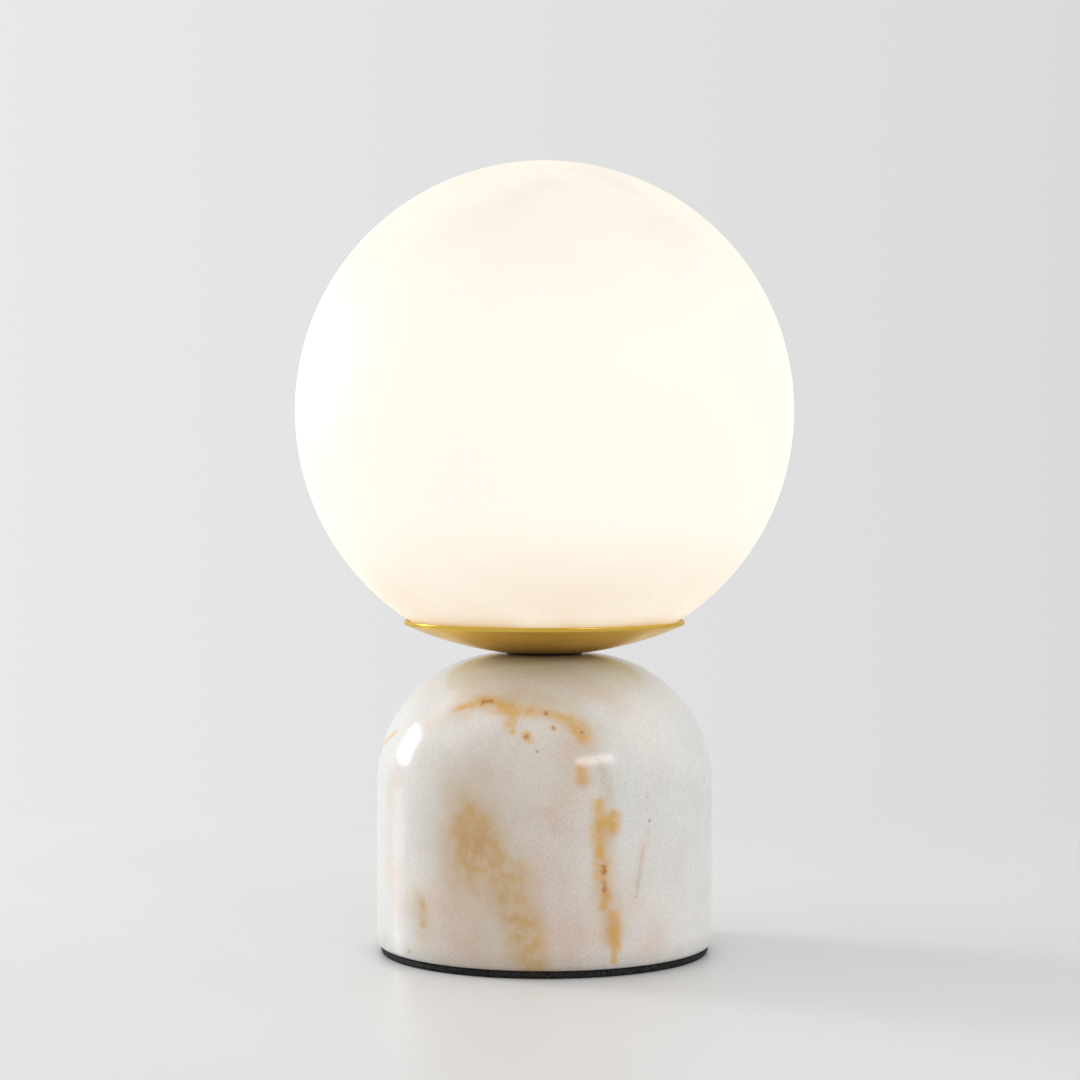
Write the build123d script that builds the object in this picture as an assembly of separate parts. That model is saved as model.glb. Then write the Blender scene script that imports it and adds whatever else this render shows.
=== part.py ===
from build123d import *
import math
import os

# Glass globe table lamp: a lit opal glass globe in a shallow brass dish, on a domed marble base.
# Millimetres, +Z up, origin on the floor under the middle of the base. The front faces -Y and the
# cord's inlet faces +Y. One hollow threaded rod clamps base, dish and globe spring together and
# carries the lampholder. The globe lifts straight up off its seat, and the bulb unscrews.

# ---------------------------------------------------------------- driving dimensions
# Foam pad under the base
pad_thickness = 3.0
pad_inset = 1.5                 # how far the pad stays inside the base's side

# Marble base
base_radius = 67.5
base_height = 117.0
top_flat_radius = 15.5          # flat top; the dome is one arc from there to the upright side
base_edge_round = 2.0           # rounded lower edge
cavity_wall = 25.5              # stone round the cavity in the underside
cavity_depth = 25.0             # from the underside to the cavity's ceiling

# Steel cover let into the underside, with its screws and plugs
cover_margin = 12.5             # stone round the cover
cover_thickness = 1.5
cover_gap = 0.3                 # between the cover's edge and its rebate
cover_screw_count = 3
cover_screw_radius = 1.5
cover_screw_length = 9.0
screw_head_ratio = 1.9          # countersunk head's radius over the shank's
plug_wall = 1.5                 # nylon plugs that the screws bite into
plug_depth = 10.0

# Threaded rod, nuts and washers
rod_radius = 5.0
rod_bore_radius = 3.7
rod_hole_gap = 0.75             # between the rod and the stone
washer_gap = 0.2                # between the rod and what it passes through
thread_gap = 0.05               # between a thread, pin or plug and what it fits
rod_past_nut = 1.0              # how far the rod stands out of the lower nut
nut_across_flats = 16.0
nut_height = 4.0
lower_washer_radius = 20.0
lower_washer_thickness = 2.0
toothed_washer_radius = 9.5
toothed_washer_thickness = 0.8
washer_tooth_count = 14
washer_notch_depth = 1.5
bush_wall = 0.7                 # plastic bushes in the rod's two ends
bush_depth = 5.0
bush_lip = 0.8

# Cord inlet at the rear of the base
inlet_height = 14.0             # of its axis above the floor
inlet_bore_radius = 3.5
inlet_sleeve_wall = 1.4
inlet_gap = 0.1                 # between the bush and the stone
inlet_flange_radius = 7.5
inlet_flange_thickness = 2.0
inlet_recess = 0.6              # spot face in the stone under the flange

# Brass dish
dish_washer_inset = 0.5         # rubber washer's edge inside the base's flat top
dish_washer_thickness = 0.8
dish_rim_radius = 56.5
dish_rim_height = 1.6           # upright band round the dish
dish_curve_radius = 135.5       # of the dish's underside
dish_flat_radius = 19.0
dish_wall = 1.2
dish_lip_round = 0.5            # rounding of the band's upper edges
dish_edge_round = 0.5           # rounding where the underside turns up into the band

# Globe, its seat and its spring
globe_radius = 100.0
globe_wall = 3.0
mouth_round = 0.8               # flame-polished edges of the mouth
rim_gap = 0.9                   # between the glass and the dish's lip
seat_edge = 0.7                 # thickness of the seat ring at its outer edge
seat_inset = 0.4                # seat ring's edge inside the mouth's edge
seat_width = 5.0
spring_thickness = 0.8
spring_arm_count = 3
spring_arm_width = 11.0
spring_plate_inset = 1.0        # spring's plate inside the dish's flat
spring_gap = 0.3                # between fingers and mouth, and between arms and dish
finger_height = 7.5             # above the mouth
finger_lean = 2.2               # how far the finger's knee stands outside its foot and tip

# Lampholder for a 27 mm Edison screw
holder_radius = 19.5
holder_wall = 2.0
holder_neck_radius = 9.0
holder_neck_height = 5.0
holder_flare_height = 9.0
holder_thread_depth = 8.0
holder_floor = 3.0              # plastic above the rod's end
holder_cap_height = 24.0        # up to its joint with the shell
holder_shell_height = 34.0
grub_screw_radius = 1.5
grub_slot_width = 0.6
core_flange_thickness = 4.0
core_boss_height = 5.0
core_gap = 0.3
terminal_radius = 2.4
terminal_offset = 5.2
terminal_depth = 5.5
liner_radius = 13.45            # inside of the screw shell
liner_thickness = 0.75
liner_drop = 1.0                # liner's edge below the lampholder's mouth

# Spring contact under the bulb, and its rivet
contact_travel = 3.0            # from the core up to the bulb's tip
contact_gap = 0.3
contact_thickness = 0.4
contact_width = 5.0
contact_foot = 9.0              # from the axis out to the end of the strip's foot
contact_foot_length = 5.0
contact_pad = 3.5               # from the axis to the raised part's far end
rivet_radius = 1.2
rivet_head_radius = 2.0
rivet_head_thickness = 0.8

# Bulb: a golf-ball lamp on a 27 mm Edison screw cap
bulb_radius = 22.5
bulb_length = 78.0
bulb_cap_radius = 13.1
bulb_cap_wall = 0.5
bulb_cap_bevel = 1.0
bulb_cap_length = 27.0          # from the tip to the cap's upper edge
bulb_cap_opening = 8.5          # radius of the hole in the cap's floor
bulb_plug_depth = 8.0           # how far the housing reaches into the cap
bulb_shoulder = 0.3             # how far the housing stands out over the cap
bulb_shell_wall = 1.2
bulb_split_drop = 5.0           # from the ball's centre down to the diffuser's edge
bulb_tip_radius = 4.6
bulb_tip_height = 1.4
bulb_insulator_height = 3.6
insulator_flange = 1.5          # insulator's flange inside the cap, wide and thick
led_board_thickness = 1.6
led_count = 8
led_size = 2.8
led_height = 0.7
led_circle_radius = 12.0
driver_thickness = 1.2
driver_width = 15.0
driver_height = 18.0
capacitor_radius = 3.6
capacitor_length = 12.0

# Connector block on the cover
block_length = 17.0
block_width = 28.0
block_height = 12.5
block_offset = 23.0             # of its middle from the rod's axis
block_corner_round = 1.0
block_pole_count = 3
block_pole_spacing = 9.0
block_bore_radius = 2.35
block_bore_height = 5.0         # above the cover
block_well_radius = 2.1
sleeve_wall = 0.75
sleeve_inset = 2.0
clamp_screw_radius = 1.3
clamp_screw_length = 3.2
clamp_screw_offset = 4.0        # from the block's middle to each clamping screw
clamp_slot_width = 0.5
clamp_slot_depth = 0.8
fixing_screw_radius = 1.25
fixing_screw_length = 9.0

# Leads from the block to the lampholder and to the earth tag
lead_radius = 1.0
lead_offset = 1.35              # of each lead from the rod's axis
lead_bend = 6.0                 # widest bend; a short run makes a tighter one
lead_straight_foot = 5.5        # from the block to the first bend
lead_straight_head = 3.5        # below the lampholder's terminals
lead_clear = 2.0                # above the rod's upper bush
copper_radius = 0.6
copper_length = 4.5
tag_thickness = 0.8
tag_radius = 8.0
tag_width = 6.0
tag_reach = 17.0
tag_barrel_wall = 0.8

# ---------------------------------------------------------------- places worked out from them
base_low = pad_thickness
base_top = base_low + base_height
cover_top = base_low + cover_thickness
cavity_ceiling = base_low + cavity_depth
cavity_radius = base_radius - cavity_wall
cover_radius = base_radius - cover_margin
cover_screw_circle = (cavity_radius + cover_radius + cover_gap) / 2
plug_radius = cover_screw_radius + plug_wall
rod_hole_radius = rod_radius + rod_hole_gap
thread_bore_radius = rod_radius + thread_gap
washer_bore_radius = rod_radius + washer_gap
inlet_sleeve_radius = inlet_bore_radius + inlet_sleeve_wall
inlet_hole_radius = inlet_sleeve_radius + inlet_gap
inlet_flange_start = base_radius - inlet_recess
inlet_end = inlet_flange_start + inlet_flange_thickness

lower_washer_low = cavity_ceiling - lower_washer_thickness
lower_teeth_low = lower_washer_low - toothed_washer_thickness
tag_low = lower_teeth_low - tag_thickness
lower_nut_low = tag_low - nut_height
rod_low = lower_nut_low - rod_past_nut

dish_low = base_top + dish_washer_thickness
dish_floor = dish_low + dish_wall
spring_top = dish_floor + spring_thickness
upper_nut_low = spring_top + toothed_washer_thickness
holder_low = upper_nut_low + nut_height
rod_top = holder_low + holder_thread_depth
holder_split = holder_low + holder_cap_height
holder_top = holder_split + holder_shell_height
grub_height = holder_low + holder_neck_height / 2

# The dish's inside is a sphere about the same centre as its underside.
dish_inner_radius = dish_rim_radius - dish_wall
dish_inner_curve = dish_curve_radius - dish_wall
dish_curve_centre = dish_low + math.sqrt(dish_curve_radius**2 - dish_flat_radius**2)
dish_inner_flat = math.sqrt(dish_inner_curve**2 - (dish_curve_centre - dish_floor) ** 2)
dish_rim_low = dish_curve_centre - math.sqrt(dish_curve_radius**2 - dish_rim_radius**2)
dish_rim_top = dish_rim_low + dish_rim_height

# The rounding under the band touches the underside's sphere and the band's cylinder from inside.
edge_centre_radius = dish_rim_radius - dish_edge_round
edge_centre_reach = dish_curve_radius - dish_edge_round
edge_drop = math.sqrt(edge_centre_reach**2 - edge_centre_radius**2)
edge_height = dish_curve_centre - edge_drop
edge_touch_radius = edge_centre_radius * dish_curve_radius / edge_centre_reach
edge_angle = math.degrees(math.atan2(edge_drop, edge_centre_radius))

# The glass passes the dish's lip at the rim gap. Its mouth is cut where its outside meets the
# dish's inside raised by the seat's edge: the height that those two spheres have in common.
globe_inner_radius = globe_radius - globe_wall
globe_centre = dish_rim_top + math.sqrt(globe_radius**2 - (dish_inner_radius - rim_gap) ** 2)
raised_centre = dish_curve_centre + seat_edge
power_difference = dish_inner_curve**2 - globe_radius**2 + globe_centre**2 - raised_centre**2
mouth_height = power_difference / (2 * (globe_centre - raised_centre))
mouth_radius = math.sqrt(globe_radius**2 - (globe_centre - mouth_height) ** 2)
mouth_inner_radius = math.sqrt(globe_inner_radius**2 - (globe_centre - mouth_height) ** 2)

holder_inside = holder_radius - holder_wall
core_low = holder_split - core_flange_thickness
core_top = holder_split + core_boss_height
boss_radius = liner_radius + liner_thickness
bulb_low = core_top + contact_travel
bulb_cap_low = bulb_low + bulb_tip_height + bulb_insulator_height
bulb_cap_top = bulb_low + bulb_cap_length
bulb_centre = bulb_low + bulb_length - bulb_radius
bulb_split = bulb_centre - bulb_split_drop
led_board_low = bulb_split - led_board_thickness
rivet_offset = contact_foot - contact_foot_length / 2

block_x = -block_offset
block_bore_z = cover_top + block_bore_height
block_top = cover_top + block_height
sleeve_radius = block_bore_radius - thread_gap
sleeve_end_x = block_x + block_length / 2 - sleeve_inset
pole_places = [(i - (block_pole_count - 1) / 2) * block_pole_spacing for i in range(block_pole_count)]
clamp_places = [block_x - clamp_screw_offset, block_x + clamp_screw_offset]
fixing_places = [(a + b) / 2 for a, b in zip(pole_places, pole_places[1:])]
tag_barrel_bore = copper_radius + thread_gap
tag_barrel_radius = tag_barrel_bore + tag_barrel_wall
tag_barrel_low = tag_low - copper_length

UPWARDS = (Align.CENTER, Align.CENTER, Align.MIN)
DOWNWARDS = (Align.CENTER, Align.CENTER, Align.MAX)


# ---------------------------------------------------------------- shapes used more than once
def turned(outline):
    """Solid of revolution about Z from a closed outline of (radius, height)."""
    return revolve(Plane.XZ * make_face(outline), Axis.Z)


def rod_between(radius, low, high, x=0.0, y=0.0):
    """Upright cylinder between two heights."""
    return Pos(x, y, low) * Cylinder(radius, high - low, align=UPWARDS)


def ring(outer_radius, inner_radius, low, high, x=0.0, y=0.0):
    """Upright tube or flat washer between two heights."""
    return rod_between(outer_radius, low, high, x, y) - rod_between(inner_radius, low, high, x, y)


def on_circle(count, radius, first_angle=0.0):
    """Places evenly round the Z axis, each with its X pointing away from the axis."""
    return [Rot(0, 0, first_angle + 360.0 / count * i) * Pos(radius, 0, 0) for i in range(count)]


def dish_height(radius, curve_radius):
    """Height of the dish's underside or inside, or of what runs beside it, at a radius."""
    return dish_curve_centre - math.sqrt(curve_radius**2 - radius**2)


def dish_arc(curve_radius, start, end):
    """Arc along the dish's curve between two radii from the axis."""
    stops = [(r, dish_height(r, curve_radius)) for r in (start, (start + end) / 2, end)]
    return ThreePointArc(*stops)


def ball_shell(centre, radius, wall, cut_height):
    """Spherical shell, open below a height."""
    shell = Pos(0, 0, centre) * (Sphere(radius) - Sphere(radius - wall))
    return shell - Pos(0, 0, cut_height) * Box(4 * radius, 4 * radius, 4 * radius, align=DOWNWARDS)


def countersunk_screw(radius, length):
    """Screw that points up, its head's flat face at height 0, with a cross slot in the head."""
    head_radius = screw_head_ratio * radius
    head_height = head_radius - radius
    outline = Polyline(
        (0, 0),
        (head_radius, 0),
        (radius, head_height),
        (radius, length - radius),
        (0, length),
        close=True,
    )
    screw = turned(outline)
    for turn in (0, 90):
        screw -= Rot(0, 0, turn) * Box(1.3 * head_radius, 0.4 * radius, 0.8 * head_height, align=UPWARDS)
    return screw


def countersunk_hole(radius):
    """What such a screw's hole takes from the cover."""
    hole_radius = radius + thread_gap
    head_radius = screw_head_ratio * radius + thread_gap
    outline = Polyline(
        (0, base_low),
        (head_radius, base_low),
        (hole_radius, base_low + head_radius - hole_radius),
        (hole_radius, cover_top),
        (0, cover_top),
        close=True,
    )
    return turned(outline)


# ---------------------------------------------------------------- base and its cover
def cover_places():
    """Places of the cover's screws."""
    return on_circle(cover_screw_count, cover_screw_circle, 30)


def foam_pad():
    """Flat foam disc glued under base and cover."""
    return rod_between(base_radius - pad_inset, 0, pad_thickness)


def marble_base():
    """Domed block, with a hole for the rod, a cavity and rebate below, and the cord's hole behind."""
    dome_radius = base_radius - top_flat_radius
    dome_low = base_top - dome_radius
    rebate_radius = cover_radius + cover_gap
    side_foot = base_radius - base_edge_round
    outline = (
        Line((rod_hole_radius, base_top), (top_flat_radius, base_top))
        + CenterArc((top_flat_radius, dome_low), dome_radius, 0, 90)
        + Line((base_radius, dome_low), (base_radius, base_low + base_edge_round))
        + CenterArc((side_foot, base_low + base_edge_round), base_edge_round, 270, 90)
        + Polyline(
            (side_foot, base_low),
            (rebate_radius, base_low),
            (rebate_radius, cover_top),
            (cavity_radius, cover_top),
            (cavity_radius, cavity_ceiling),
            (rod_hole_radius, cavity_ceiling),
            (rod_hole_radius, base_top),
        )
    )
    block = turned(outline)
    rearwards = Pos(0, 0, inlet_height) * Rot(-90, 0, 0)
    block -= rearwards * rod_between(inlet_hole_radius, 0, inlet_end)
    block -= rearwards * rod_between(inlet_flange_radius + inlet_gap, inlet_flange_start, inlet_end)
    for place in cover_places():
        block -= place * rod_between(plug_radius + thread_gap, cover_top, cover_top + plug_depth)
    return block


def cover_plugs():
    """Nylon plugs in the stone, bored for the cover's screws."""
    plug = ring(plug_radius, cover_screw_radius + thread_gap, cover_top, cover_top + plug_depth)
    return Compound(children=[place * plug for place in cover_places()])


def cover_plate():
    """Steel disc with countersunk holes for its own screws and for the connector block's."""
    plate = rod_between(cover_radius, base_low, cover_top)
    for place in cover_places():
        plate -= place * countersunk_hole(cover_screw_radius)
    for y in fixing_places:
        plate -= Pos(block_x, y, 0) * countersunk_hole(fixing_screw_radius)
    return plate


def cover_screws():
    """Screws that hold the cover to the plugs."""
    screw = Pos(0, 0, base_low) * countersunk_screw(cover_screw_radius, cover_screw_length)
    return Compound(children=[place * screw for place in cover_places()])


def cord_inlet():
    """Flanged bush that lines the cord's hole from the cavity to the outside."""
    bevel = inlet_flange_thickness / 2
    start = math.sqrt(cavity_radius**2 - inlet_hole_radius**2)
    outline = Polyline(
        (inlet_bore_radius, start),
        (inlet_sleeve_radius, start),
        (inlet_sleeve_radius, inlet_flange_start),
        (inlet_flange_radius, inlet_flange_start),
        (inlet_flange_radius, inlet_end - bevel),
        (inlet_flange_radius - bevel, inlet_end),
        (inlet_bore_radius, inlet_end),
        close=True,
    )
    return Pos(0, 0, inlet_height) * Rot(-90, 0, 0) * turned(outline)


# ---------------------------------------------------------------- rod and what it clamps
def threaded_rod():
    """Hollow rod, through which the leads run."""
    return ring(rod_radius, rod_bore_radius, rod_low, rod_top)


def rod_bushes():
    """Bushes that keep the leads off the rod's two sharp ends."""
    outside = rod_bore_radius - thread_gap
    inside = outside - bush_wall
    lip_radius = rod_radius - washer_gap
    bushes = []
    for end, outwards in ((rod_low, -1), (rod_top, 1)):
        outline = Polyline(
            (inside, end - outwards * bush_depth),
            (outside, end - outwards * bush_depth),
            (outside, end),
            (lip_radius, end),
            (lip_radius, end + outwards * bush_lip),
            (inside, end + outwards * bush_lip),
            close=True,
        )
        bushes.append(turned(outline))
    return Compound(children=bushes)


def hex_nut(low):
    """Hexagonal nut with its corners bevelled above and below."""
    half = nut_across_flats / 2
    corner = half / math.cos(math.radians(30))
    bevel = corner - half
    high = low + nut_height
    prism = Pos(0, 0, low) * extrude(RegularPolygon(half, 6, major_radius=False), nut_height)
    outline = Polyline(
        (thread_bore_radius, low),
        (half, low),
        (corner, low + bevel / 2),
        (corner, high - bevel / 2),
        (half, high),
        (thread_bore_radius, high),
        close=True,
    )
    return prism & turned(outline)


def rod_nuts():
    """Nut in the base's cavity and nut in the dish."""
    return Compound(children=[hex_nut(lower_nut_low), hex_nut(upper_nut_low)])


def toothed_washer(low):
    """Lock washer with notches round its edge."""
    notch_width = math.pi * toothed_washer_radius / washer_tooth_count
    washer = ring(toothed_washer_radius, washer_bore_radius, low, low + toothed_washer_thickness)
    notch = Pos(0, 0, low) * Box(2 * washer_notch_depth, notch_width, toothed_washer_thickness, align=UPWARDS)
    for place in on_circle(washer_tooth_count, toothed_washer_radius):
        washer -= place * notch
    return washer


def toothed_washers():
    """Lock washers over the earth tag and under the upper nut."""
    return Compound(children=[toothed_washer(lower_teeth_low), toothed_washer(spring_top)])


def lower_washer():
    """Wide washer that spreads the lower nut's pull over the cavity's ceiling."""
    return ring(lower_washer_radius, washer_bore_radius, lower_washer_low, cavity_ceiling)


def earth_tag():
    """Ring on the rod with a tongue, whose barrel is crimped on the earth lead."""
    high = tag_low + tag_thickness
    tongue = Pos(0, 0, tag_low) * Box(
        tag_width, tag_reach + tag_barrel_radius, tag_thickness, align=(Align.CENTER, Align.MIN, Align.MIN)
    )
    tag = rod_between(tag_radius, tag_low, high) + tongue - rod_between(washer_bore_radius, tag_low, high)
    return tag + ring(tag_barrel_radius, tag_barrel_bore, tag_barrel_low, tag_low, 0, tag_reach)


def dish_washer():
    """Rubber washer between stone and brass."""
    return ring(top_flat_radius - dish_washer_inset, washer_bore_radius, base_top, dish_low)


def brass_dish():
    """Shallow dish: flat middle, spherical wall and an upright band with rounded edges."""
    lip = dish_lip_round
    lip_low = dish_rim_top - lip
    inner_low = dish_height(dish_inner_radius, dish_inner_curve)
    outline = (
        Line((washer_bore_radius, dish_low), (dish_flat_radius, dish_low))
        + dish_arc(dish_curve_radius, dish_flat_radius, edge_touch_radius)
        + CenterArc((edge_centre_radius, edge_height), dish_edge_round, -edge_angle, edge_angle)
        + Line((dish_rim_radius, edge_height), (dish_rim_radius, lip_low))
        + CenterArc((dish_rim_radius - lip, lip_low), lip, 0, 90)
        + Line((dish_rim_radius - lip, dish_rim_top), (dish_inner_radius + lip, dish_rim_top))
        + CenterArc((dish_inner_radius + lip, lip_low), lip, 90, 90)
        + Line((dish_inner_radius, lip_low), (dish_inner_radius, inner_low))
        + dish_arc(dish_inner_curve, dish_inner_radius, dish_inner_flat)
        + Polyline(
            (dish_inner_flat, dish_floor),
            (washer_bore_radius, dish_floor),
            (washer_bore_radius, dish_low),
        )
    )
    return turned(outline)


def seat_ring():
    """Silicone ring: a flat top for the globe's mouth, an underside that fits the dish's curve."""
    outer = mouth_radius - seat_inset
    inner = outer - seat_width
    curve = dish_inner_curve - thread_gap
    upper = Polyline(
        (inner, dish_height(inner, curve)),
        (inner, mouth_height),
        (outer, mouth_height),
        (outer, dish_height(outer, curve)),
    )
    return turned(upper + dish_arc(curve, outer, inner))


def globe_spring():
    """Spring steel star: a plate on the rod, and arms whose bent fingers grip the globe's mouth."""
    plate_radius = dish_inner_flat - spring_plate_inset
    thick = spring_thickness
    knee = mouth_inner_radius - spring_gap
    foot = knee - finger_lean
    foot_low = dish_height(foot, dish_inner_curve) + spring_gap
    knee_height = mouth_height + finger_height / 2
    tip_height = mouth_height + finger_height
    outline = Polyline(
        (washer_bore_radius, dish_floor),
        (plate_radius, dish_floor),
        (foot, foot_low),
        (knee, knee_height),
        (foot, tip_height),
        (foot - thick, tip_height),
        (knee - thick, knee_height),
        (foot - thick, foot_low + thick),
        (plate_radius, spring_top),
        (washer_bore_radius, spring_top),
        close=True,
    )
    kept = rod_between(plate_radius, dish_floor, tip_height)
    arm = Pos(0, 0, dish_floor) * Box(
        globe_radius, spring_arm_width, globe_radius, align=(Align.MIN, Align.CENTER, Align.MIN)
    )
    for place in on_circle(spring_arm_count, 0, 90):
        kept += place * arm
    return turned(outline) & kept


# ---------------------------------------------------------------- globe
def glass_globe():
    """Blown opal shell, cut flat and flame-polished at the mouth."""
    shell = ball_shell(globe_centre, globe_radius, globe_wall, mouth_height)
    return fillet(shell.edges().filter_by(GeomType.CIRCLE).group_by(Axis.Z)[0], mouth_round)


# ---------------------------------------------------------------- lampholder
def grub_cylinder(radius, start, end):
    """Cylinder along X between two distances from the rod's axis, at the grub screw's height."""
    return Pos(start, 0, grub_height) * Rot(0, 90, 0) * Cylinder(radius, end - start, align=UPWARDS)


def holder_cap():
    """Lower half: a neck threaded for the rod, a flare, and a ledge for the core."""
    flare_low = holder_low + holder_neck_height
    flare_high = flare_low + holder_flare_height
    ledge = holder_inside - holder_wall
    outline = Polyline(
        (thread_bore_radius, holder_low),
        (holder_neck_radius, holder_low),
        (holder_neck_radius, flare_low),
        (holder_radius, flare_high),
        (holder_radius, holder_split),
        (holder_inside, holder_split),
        (holder_inside, core_low),
        (ledge, core_low),
        (ledge, flare_high + holder_wall),
        (holder_neck_radius - holder_wall, rod_top + holder_floor),
        (thread_bore_radius, rod_top + holder_floor),
        close=True,
    )
    return turned(outline) - grub_cylinder(grub_screw_radius + thread_gap, 0, holder_radius)


def holder_grub_screw():
    """Headless screw that stops the lampholder turning on the rod."""
    slot = Pos(holder_neck_radius, 0, grub_height) * Box(
        2 * grub_slot_width, 4 * grub_screw_radius, grub_slot_width
    )
    return grub_cylinder(grub_screw_radius, thread_bore_radius, holder_neck_radius) - slot


def holder_shell():
    """Upper half: a foot that clamps the core's flange, and a skirt turned in at the mouth."""
    mouth = boss_radius + core_gap
    foot = mouth + core_gap
    bevel = holder_wall / 2
    outline = Polyline(
        (foot, holder_split),
        (holder_radius, holder_split),
        (holder_radius, holder_top - bevel),
        (holder_radius - bevel, holder_top),
        (mouth, holder_top),
        (mouth, holder_top - holder_wall),
        (holder_inside, holder_top - holder_wall),
        (holder_inside, holder_split + holder_wall),
        (foot, holder_split + holder_wall),
        close=True,
    )
    return turned(outline)


def holder_core():
    """Ceramic core: a flange that the two halves clamp, and a boss, bored for terminals and rivet."""
    core = rod_between(holder_inside - core_gap, core_low, holder_split)
    core += rod_between(boss_radius, holder_split, core_top)
    terminal_hole = rod_between(terminal_radius + thread_gap, core_low, core_low + terminal_depth)
    for y in (-terminal_offset, terminal_offset):
        core -= Pos(0, y, 0) * terminal_hole
    return core - rod_between(rivet_radius + thread_gap, core_low, core_top, -rivet_offset)


def holder_terminals():
    """Push-in brass terminals for the live and the neutral lead."""
    terminal = ring(terminal_radius, copper_radius + washer_gap, core_low, core_low + terminal_depth)
    return Compound(children=[Pos(0, y, 0) * terminal for y in (-terminal_offset, terminal_offset)])


def screw_liner():
    """Screw shell, which stands on the core's boss and takes the bulb's cap."""
    return ring(boss_radius, liner_radius, core_top, holder_top - liner_drop)


def centre_contact():
    """Bronze strip, bent up from its foot to spring against the bulb's tip."""
    thick = contact_thickness
    lift = contact_travel - contact_gap - thick
    bend = contact_foot_length - contact_foot
    outline = Polyline(
        (-contact_foot, 0),
        (bend, 0),
        (-contact_pad / 2, lift),
        (contact_pad, lift),
        (contact_pad, lift + thick),
        (-contact_pad / 2, lift + thick),
        (bend, thick),
        (-contact_foot, thick),
        close=True,
    )
    strip = Pos(0, 0, core_top) * extrude(Plane.XZ * make_face(outline), contact_width / 2, both=True)
    return strip - rod_between(rivet_radius + thread_gap, core_top, core_top + thick, -rivet_offset)


def contact_rivet():
    """Rivet that holds the contact strip to the core."""
    strip_top = core_top + contact_thickness
    rivet = rod_between(rivet_radius, core_low, strip_top)
    rivet += rod_between(rivet_head_radius, strip_top, strip_top + rivet_head_thickness)
    rivet += rod_between(rivet_head_radius, core_low - rivet_head_thickness, core_low)
    return Pos(-rivet_offset, 0, 0) * rivet


# ---------------------------------------------------------------- bulb
def bulb_tip():
    """Low metal button, the bulb's centre contact."""
    high = bulb_low + bulb_tip_height
    outline = Polyline(
        (0, bulb_low), (bulb_tip_radius / 2, bulb_low), (bulb_tip_radius, high), (0, high), close=True
    )
    return turned(outline)


def bulb_insulator():
    """Black glass between tip and cap, with a flange on the inside of the cap's floor."""
    neck = bulb_cap_opening - thread_gap
    floor = bulb_cap_low + bulb_cap_wall
    low = bulb_low + bulb_tip_height
    outline = Polyline(
        (0, low),
        (bulb_tip_radius, low),
        (neck, bulb_cap_low),
        (neck, floor),
        (neck + insulator_flange, floor),
        (neck + insulator_flange, floor + insulator_flange),
        (0, floor + insulator_flange),
        close=True,
    )
    return turned(outline)


def bulb_cap():
    """Metal screw cap with a floor round the insulator."""
    inside = bulb_cap_radius - bulb_cap_wall
    floor = bulb_cap_low + bulb_cap_wall
    bevel = bulb_cap_bevel
    outline = Polyline(
        (bulb_cap_opening, bulb_cap_low),
        (bulb_cap_radius - bevel, bulb_cap_low),
        (bulb_cap_radius, bulb_cap_low + bevel),
        (bulb_cap_radius, bulb_cap_top),
        (inside, bulb_cap_top),
        (inside, floor + bevel),
        (inside - bevel, floor),
        (bulb_cap_opening, floor),
        close=True,
    )
    return turned(outline)


def housing_side(wall):
    """Neck point and ball arc of the housing's side, set in by a wall. The arc runs from where the
    straight line out of the neck touches the ball up to the diffuser's edge."""
    radius = bulb_radius - wall
    neck = (bulb_cap_radius + bulb_shoulder - wall, bulb_cap_top)
    drop = bulb_centre - bulb_cap_top
    touch_angle = math.degrees(math.acos(radius / math.hypot(neck[0], drop)) - math.atan2(drop, neck[0]))
    edge_angle = -math.degrees(math.asin(bulb_split_drop / radius))
    return neck, CenterArc((0, bulb_centre), radius, touch_angle, edge_angle - touch_angle)


def bulb_housing():
    """Cone from the cap up to the ball, with a plug inside the cap."""
    plug_outside = bulb_cap_radius - bulb_cap_wall - thread_gap
    plug_inside = plug_outside - bulb_shell_wall
    plug_low = bulb_cap_top - bulb_plug_depth
    neck, arc = housing_side(0)
    inner_neck, inner_arc = housing_side(bulb_shell_wall)
    outline = (
        Polyline(
            (plug_inside, plug_low), (plug_outside, plug_low), (plug_outside, bulb_cap_top), neck, arc @ 0
        )
        + arc
        + Line(arc @ 1, inner_arc @ 1)
        + inner_arc
        + Polyline(inner_arc @ 0, inner_neck, (plug_inside, bulb_cap_top), (plug_inside, plug_low))
    )
    return turned(outline)


def bulb_diffuser():
    """Opal ball, open at its foot."""
    return ball_shell(bulb_centre, bulb_radius, bulb_shell_wall, bulb_split)


def led_board():
    """Disc that lies in the housing where the ball narrows to the disc's own radius."""
    inside = bulb_radius - bulb_shell_wall
    seat_radius = math.sqrt(inside**2 - (bulb_centre - led_board_low) ** 2)
    return rod_between(seat_radius - thread_gap, led_board_low, bulb_split)


def led_chips():
    """Light sources on the board's upper face."""
    chip = Pos(0, 0, bulb_split) * Box(led_size, led_size, led_height, align=UPWARDS)
    return Compound(children=[place * chip for place in on_circle(led_count, led_circle_radius)])


def driver_board():
    """Circuit board that hangs upright under the board of light sources."""
    return Pos(0, 0, led_board_low) * Box(driver_thickness, driver_width, driver_height, align=DOWNWARDS)


def driver_capacitor():
    """Capacitor that stands against the circuit board."""
    x = driver_thickness / 2 + thread_gap + capacitor_radius
    middle = led_board_low - driver_height / 2
    return rod_between(capacitor_radius, middle - capacitor_length / 2, middle + capacitor_length / 2, x)


# ---------------------------------------------------------------- connector block
def lengthwise(radius, length, y):
    """Cylinder along X on a pole's axis, centred on the block's middle."""
    return Pos(block_x, y, block_bore_z) * Rot(0, 90, 0) * Cylinder(radius, length)


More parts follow.
